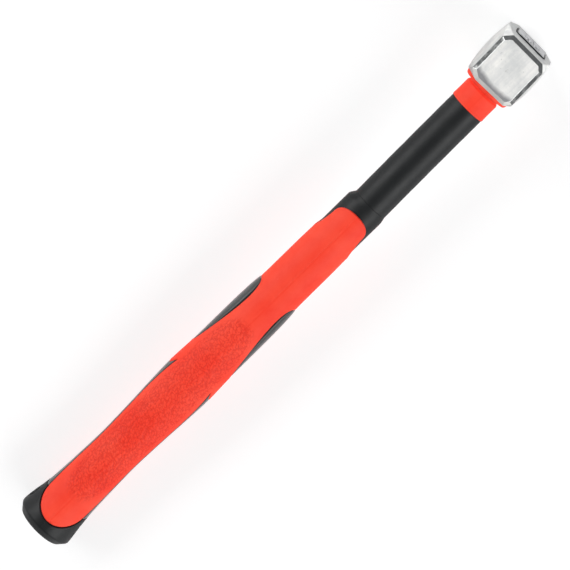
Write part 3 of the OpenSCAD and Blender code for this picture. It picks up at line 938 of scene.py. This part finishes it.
class Nodes:
    """Short calls for building the node tree of a material or a world."""

    SOCKETS = {"colour": "Base Color", "roughness": "Roughness", "metallic": "Metallic", "normal": "Normal",
               "specular": "Specular IOR Level", "anisotropic": "Anisotropic", "tangent": "Tangent",
               "sheen": "Sheen Weight", "sheen_roughness": "Sheen Roughness"}

    def __init__(self, owner, shader="Principled BSDF", output="Material Output"):
        owner.use_nodes = True
        self.material = owner
        self.tree = owner.node_tree
        self.shader = self.tree.nodes[shader]
        self.surface = self.tree.nodes[output].inputs["Surface"]
        self.place = self.add("ShaderNodeTexCoord").outputs["Object"]

    def add(self, kind, inputs=(), **properties):
        """A new node with its properties and inputs set; inputs holds pairs of a name or number and a value."""
        node = self.tree.nodes.new(kind)
        for key, value in properties.items():
            setattr(node, key, value)
        for key, value in inputs:
            self.put(value, node.inputs[key])
        return node

    def put(self, value, socket):
        """Links an output to a socket, or sets the socket's own value."""
        if isinstance(value, bpy.types.NodeSocket):
            self.tree.links.new(value, socket)
        elif socket.type == "RGBA":
            socket.default_value = (*value, 1)
        else:
            socket.default_value = value

    def scaled(self, x, y, z):
        """The object's coordinates, stretched by a factor along each axis."""
        return self.add("ShaderNodeMapping", [("Vector", self.place), ("Scale", (x, y, z))]).outputs["Vector"]

    def noise(self, scale, detail=4, roughness=0.55, vector=None, distortion=0):
        return self.add("ShaderNodeTexNoise", [
            ("Vector", vector or self.place), ("Scale", scale), ("Detail", detail), ("Roughness", roughness),
            ("Distortion", distortion)]).outputs["Fac"]

    def remap(self, value, low, high, to_low=0.0, to_high=1.0):
        return self.add("ShaderNodeMapRange", [
            ("Value", value), ("From Min", low), ("From Max", high), ("To Min", to_low), ("To Max", to_high)],
            clamp=True).outputs["Result"]

    def math(self, operation, *values):
        return self.add("ShaderNodeMath", enumerate(values), operation=operation).outputs["Value"]

    def mix(self, factor, a, b):
        """A colour between a and b; each is a colour or an output."""
        node = self.add("ShaderNodeMix", data_type="RGBA")
        for key, value in ((0, factor), (6, a), (7, b)):
            self.put(value, node.inputs[key])
        return node.outputs[2]

    def axes(self):
        node = self.add("ShaderNodeSeparateXYZ", [("Vector", self.place)])
        return node.outputs["X"], node.outputs["Y"], node.outputs["Z"]

    def bump(self, height, strength, distance, *normal):
        return self.add("ShaderNodeBump", [
            ("Height", height), ("Strength", strength), ("Distance", distance),
            *(("Normal", below) for below in normal)]).outputs["Normal"]

    def seen_by_camera(self, others, camera):
        """One shader for the camera's own rays and another for every other ray."""
        path = self.add("ShaderNodeLightPath")
        return self.add("ShaderNodeMixShader", [
            (0, path.outputs["Is Camera Ray"]), (1, others), (2, camera)]).outputs["Shader"]

    def set(self, **sockets):
        for key, value in sockets.items():
            self.put(value, self.shader.inputs[self.SOCKETS[key]])
        return self.material


def rubber(name, dark, light, worn, roughness, specular, seam=0.0, painted_shade=None, sheen=0.0):
    """Moulded rubber: blotches of tone, a fine grain, rubbed places that are paler and smoother, and painted shade
    mixed in by the mesh's shade attribute.
    """
    n = Nodes(bpy.data.materials.new(name))
    blotch = n.remap(n.noise(26, 5, 0.6), 0.32, 0.7)
    base = n.mix(blotch, dark, light)
    rub = n.remap(n.noise(9, 6, 0.7, distortion=0.6), 0.58, 0.8, 0, 0.4)
    base = n.mix(rub, base, worn)
    speck = n.remap(n.noise(900, 2, 0.5), 0.66, 0.78, 0, 0.35)
    base = n.mix(speck, base, worn)
    grain = n.noise(1500, 3, 0.6)
    cloud = n.noise(140, 4, 0.6)
    normal = n.bump(grain, 0.22, 0.00012)
    normal = n.bump(cloud, 0.25, 0.0005, normal)
    if seam:
        _, y, _ = n.axes()
        wander = n.math("MULTIPLY", n.math("SUBTRACT", n.noise(7, 2, 0.5), 0.5), 0.0016)
        off = n.math("ABSOLUTE", n.math("ADD", n.math("ADD", y, 0.0016), wander))
        line = n.remap(off, 0.0, 0.0011, 1.0, 0.0)
        line = n.math("MULTIPLY", line, n.remap(n.noise(60, 3, 0.6), 0.3, 0.6, 0.25, 1.0))
        base = n.mix(n.math("MULTIPLY", line, seam), base, dark)
        normal = n.bump(line, 0.35, 0.00025, normal)
    # painted shade: the shade colour is mixed in by the amount in the mesh's attribute
    if painted_shade:
        deep = n.add("ShaderNodeAttribute", attribute_type="GEOMETRY", attribute_name=SHADE_ATTRIBUTE).outputs["Fac"]
        base = n.mix(n.math("MULTIPLY", deep, 0.5), base, painted_shade)
    rough = n.remap(n.math("ADD", n.noise(60, 4, 0.6), n.math("MULTIPLY", rub, -0.35)), 0.2, 0.8,
                    roughness - 0.07, roughness + 0.08)
    return n.set(colour=base, roughness=rough, normal=normal, specular=specular, sheen=sheen, sheen_roughness=0.4)


def ground_steel(name):
    """Forged steel, ground on its faces along the handle's direction, with blotches and fine scratches, and painted
    shade over each face's end nearest the handle.
    """
    n = Nodes(bpy.data.materials.new(name))
    x, y, z = n.axes()
    streak = n.noise(1, 6, 0.65, n.scaled(24, 900, 60))
    coarse = n.noise(1, 5, 0.6, n.scaled(9, 210, 30))
    blotch = n.remap(n.noise(48, 6, 0.68), 0.36, 0.66)
    tone = n.mix(blotch, (0.62, 0.63, 0.62), (0.87, 0.86, 0.83))
    tone = n.mix(n.remap(coarse, 0.35, 0.7, 0, 0.5), tone, (0.56, 0.57, 0.58))
    pit = n.remap(n.noise(420, 3, 0.5), 0.68, 0.75, 0, 0.5)
    tone = n.mix(pit, tone, (0.30, 0.29, 0.28))
    # Painted shade: each striking face darkens over its end nearest the handle, most at the corners, along a bowed
    # line.
    on_face = n.remap(n.math("ABSOLUTE", n.math("SUBTRACT", z, AXIS_Z * MM)), 0.0598, 0.05998)
    bowed = n.math("SUBTRACT", x, n.math("MULTIPLY", n.math("MULTIPLY", y, y), 7.0))
    face_end_painted_shade = n.remap(n.math("ADD", bowed, n.math("MULTIPLY", coarse, 0.004)), -0.0175, -0.0135, 0.85, 0.0)
    tone = n.mix(n.math("MULTIPLY", face_end_painted_shade, on_face), tone, (0.20, 0.20, 0.21))
    rough = n.remap(n.math("ADD", streak, n.math("MULTIPLY", blotch, 0.3)), 0.3, 1.0, 0.42, 0.6)
    normal = n.bump(streak, 0.35, 0.00006)
    normal = n.bump(coarse, 0.25, 0.0002, normal)
    tangent = n.add("ShaderNodeTangent", direction_type="UV_MAP", uv_map="UVMap")
    return n.set(colour=tone, roughness=rough, metallic=1.0, normal=normal, anisotropic=0.85,
                 tangent=tangent.outputs["Tangent"])


def plate_steel(name, base=(0.60, 0.60, 0.61), stain=(0.36, 0.33, 0.30), roughness=0.38, relief=0.3):
    """Cut or rolled steel with mill marks and light stains."""
    n = Nodes(bpy.data.materials.new(name))
    stains = n.remap(n.noise(55, 6, 0.65), 0.45, 0.75, 0, 0.6)
    tone = n.mix(stains, base, stain)
    tone = n.mix(n.remap(n.noise(1, 4, 0.6, n.scaled(40, 700, 700)), 0.4, 0.75, 0, 0.4), tone, (0.75, 0.75, 0.76))
    rough = n.remap(n.noise(180, 4, 0.6), 0.3, 0.75, roughness - 0.1, roughness + 0.15)
    normal = n.bump(n.noise(600, 4, 0.6), relief, 0.0001)
    return n.set(colour=tone, roughness=rough, metallic=1.0, normal=normal)


def nylon(name):
    """Pale glass-filled nylon, with fibre streaks along the handle."""
    n = Nodes(bpy.data.materials.new(name))
    fibres = n.noise(1, 5, 0.65, n.scaled(60, 900, 900))
    tone = n.mix(n.remap(fibres, 0.35, 0.7), (0.60, 0.56, 0.46), (0.74, 0.71, 0.62))
    rough = n.remap(n.noise(120, 3, 0.5), 0.3, 0.7, 0.4, 0.6)
    return n.set(colour=tone, roughness=rough, normal=n.bump(fibres, 0.3, 0.0001), specular=0.45)


def pale_floor(name):
    """A white sheet lit from below, as a product table is: to the camera it is almost as white in the shade."""
    n = Nodes(bpy.data.materials.new(name))
    tone = n.mix(n.remap(n.noise(3, 3, 0.5), 0.3, 0.7), (0.86, 0.86, 0.86), (0.885, 0.885, 0.885))
    n.set(colour=tone, roughness=0.75, specular=0.2, normal=n.bump(n.noise(250, 3, 0.5), 0.05, 0.0002))
    seen = n.add("ShaderNodeBsdfDiffuse", [("Color", (0.42, 0.42, 0.42))])
    glow = n.add("ShaderNodeEmission", [("Strength", 0.66)])
    lit = n.add("ShaderNodeAddShader", [(0, seen.outputs["BSDF"]), (1, glow.outputs["Emission"])])
    n.put(n.seen_by_camera(n.shader.outputs["BSDF"], lit.outputs["Shader"]), n.surface)
    return n.material


# The red rubber's last colour is the painted shade for the pebbles' hollows and for grooves and joints.
RED = rubber("red_rubber_moulded", (0.93, 0.044, 0.020), (1.0, 0.079, 0.040), (1.0, 0.12, 0.075), 0.58, 0.2, 0.8,
             (0.60, 0.012, 0.006))
BLACK = rubber("black_rubber_moulded", (0.007, 0.008, 0.0085), (0.012, 0.0135, 0.014), (0.028, 0.029, 0.029),
               0.46, 0.29)
# Black rubber for the pads and bands: smoother, with a sheen lobe, and a paler teal-tinted base that is painted
# sheen.
PAD = rubber("black_rubber_polished_painted_sheen", (0.016, 0.020, 0.020), (0.026, 0.031, 0.031), (0.05, 0.055, 0.055),
             0.33, 0.5, sheen=1.0)
STEEL = ground_steel("forged_steel_ground")
# Copies of the bevel steel: the darker tone is painted shade, the paler tone painted light.
BEVEL_SHADE_PAINTED = plate_steel("bevel_steel_painted_shade", (0.47, 0.48, 0.47), (0.39, 0.38, 0.37), 0.15, 0.06)
BEVEL_LIGHT_PAINTED = plate_steel("bevel_steel_painted_light", (0.78, 0.78, 0.75), (0.62, 0.61, 0.58), 0.7)
PLATE = plate_steel("plate_steel_cut")
ROD = plate_steel("rod_steel_drawn", (0.56, 0.56, 0.58), (0.30, 0.28, 0.27), 0.33)
NYLON = nylon("glass_filled_nylon")


def finish_piece(obj, material, slot, *nodes):
    """Gives a piece its material, and lets it stand for the CAD nodes it replaces."""
    obj.data.materials.clear()
    obj.data.materials.append(material)
    if nodes:
        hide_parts(*nodes)
    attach(obj, BODY)
    return obj


def bevels_with_painted_light(head):
    """The bevels around both faces that look up and sideways have a finer finish whose darker tone is painted shade,
    and those next to the handle a rougher one whose paler tone is painted light."""
    head.data.materials.append(BEVEL_SHADE_PAINTED)
    head.data.materials.append(BEVEL_LIGHT_PAINTED)
    for face in head.data.polygons:
        height = abs(face.center.z / MM - AXIS_Z)
        on_bevel = AXIS_Z - BEVEL_DEPTH - 0.15 < height < AXIS_Z and abs(face.normal.z) < 0.95
        if on_bevel:
            # Index 1 is the darker bevel steel, painted shade, and index 2 the paler one, painted light, on the
            # bevels facing the handle.
            face.material_index = 1 if face.normal.x > -0.3 else 2


bevels_with_painted_light(finish_piece(head_piece(), STEEL, "forged_steel", "head"))
finish_piece(locking_plate_piece(), PLATE, "plate_steel", "lock_plate")
finish_piece(plate_seal_piece(), BLACK, "black_rubber", "plate_seal")
for number, place in enumerate(rod_places(), 1):
    finish_piece(rivet_piece(number, place), ROD, "rod_steel")
finish_piece(head_collar_piece(), RED, "red_rubber", "head_collar")
finish_piece(shaft_sleeve_piece(), BLACK, "black_rubber", "shaft_sleeve")
finish_piece(grip_base_piece(), BLACK, "black_rubber", "grip_base")
finish_piece(grip_skin_piece(), RED, "red_rubber", "grip_skin")
for label, sign in (("left", 1), ("right", -1)):
    finish_piece(side_pad(f"side_pad_{label}", sign), PAD, "black_rubber")
    finish_piece(side_band(f"side_band_{label}", sign), PAD, "black_rubber")
finish_piece(butt_cap_piece(), BLACK, "black_rubber", "butt_cap")

# The inner parts keep their CAD shapes.
CAD_LOOKS = {"eye_filler": BLACK, "shoulder_plate": PLATE, "rod_end_plate": PLATE, "handle_core": NYLON,
             "rod_spacer_upper": NYLON, "rod_spacer_middle": NYLON, "rod_spacer_lower": NYLON}
CAD_LOOKS.update({f"core_rod_{k}": ROD for k in range(1, 7)})
for node, material in CAD_LOOKS.items():
    cad = frame["nodes"][node]
    if not cad.material_slots:
        cad.data.materials.append(material)
    for cad_slot in cad.material_slots:
        cad_slot.material = material

# --- Floor, light and camera ---


FLOOR_SIZE = 12.0  # in metres
FLOOR_LINES = 9


def resting_line():
    """Height at x = 0 and slope of the line in the XZ plane that the hammer rests on."""
    cloud = np.concatenate([coordinates(obj.data)[:, [0, 2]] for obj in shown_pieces()])
    near_head = cloud[cloud[:, 0] > HEAD_LO[0] * MM]
    slope = 0.0
    for _ in range(8):
        at_head_end = near_head[np.argmin(near_head[:, 1] - slope * near_head[:, 0])]
        run = cloud[cloud[:, 0] < at_head_end[0] - 0.1]
        rise = (run[:, 1] - at_head_end[1]) / (run[:, 0] - at_head_end[0])
        slope = float(rise.max())
    return float(at_head_end[1] - slope * at_head_end[0]), slope


def floor_piece():
    height, slope = resting_line()
    line = np.linspace(-FLOOR_SIZE / 2, FLOOR_SIZE / 2, FLOOR_LINES)
    points = [(x / MM, y / MM, (height + slope * x) / MM) for x in line for y in line]
    floor = make_object("floor", points, [f[::-1] for f in grid_faces(FLOOR_LINES, FLOOR_LINES)])
    floor.data.materials.append(pale_floor("pale_floor"))
    return floor


floor_piece()

CENTRE = Vector((-0.2743, 0.00065, AXIS_Z * MM))  # where the camera looks, beside the handle's axis
CAMERA_DISTANCE = 3.045
CAMERA_PITCH = math.radians(10.2)  # towards the head
CAMERA_YAW = math.radians(2.3)  # towards +Y
HANDLE_ANGLE = math.radians(44.43)  # of the handle above the picture's horizontal
LENS = 221


def aimed(name, data, back, distance, angle):
    """A camera or light that looks down -back at the middle of the hammer, from this distance, and sees the
    handle at this angle above the horizontal."""
    along = Vector((1, 0, 0))
    ex = (along - back * along.dot(back)).normalized()
    ey = back.cross(ex)
    right = ex * math.cos(angle) - ey * math.sin(angle)
    up = ex * math.sin(angle) + ey * math.cos(angle)
    obj = bpy.data.objects.new(name, data)
    bpy.context.scene.collection.objects.link(obj)
    rotation = Matrix((right, up, back)).transposed().to_4x4()
    obj.matrix_world = Matrix.Translation(CENTRE + back * distance) @ rotation
    return obj


def make_camera():
    data = bpy.data.cameras.new("camera")
    data.lens = LENS
    data.sensor_width = 36
    data.clip_end = 50
    back = Vector((math.sin(CAMERA_PITCH) * math.cos(CAMERA_YAW), math.sin(CAMERA_YAW),
                   math.cos(CAMERA_PITCH) * math.cos(CAMERA_YAW)))
    bpy.context.scene.camera = aimed("camera", data, back, CAMERA_DISTANCE, HANDLE_ANGLE)


def softbox(name, direction, distance, size, radiance):
    """A soft rectangular light that faces the middle of the hammer, its long side along the handle."""
    data = bpy.data.lights.new(name, "AREA")
    data.shape = "RECTANGLE"
    data.size, data.size_y = size
    data.energy = radiance * math.pi * size[0] * size[1]
    aimed(name, data, Vector(direction).normalized(), distance, 0).visible_camera = False


def make_world():
    """Dim grey surroundings for the reflections, plain and pale to look at."""
    world = bpy.data.worlds.new("studio")
    bpy.context.scene.world = world
    n = Nodes(world, "Background", "World Output")
    n.put((0.95, 0.97, 1.0), n.shader.inputs["Color"])
    n.put(0.22, n.shader.inputs["Strength"])
    pale = n.add("ShaderNodeBackground", [("Color", (1, 1, 1)), ("Strength", 0.95)])
    n.put(n.seen_by_camera(n.shader.outputs["Background"], pale.outputs["Background"]), n.surface)


make_camera()
softbox("softbox_left", (0, 0.85, 0.55), 1.9, (2.4, 1.3), 3.4)
softbox("softbox_right", (0, -0.85, 0.55), 1.9, (2.4, 1.3), 3.6)
make_world()
bpy.context.scene.view_settings.view_transform = "Standard"
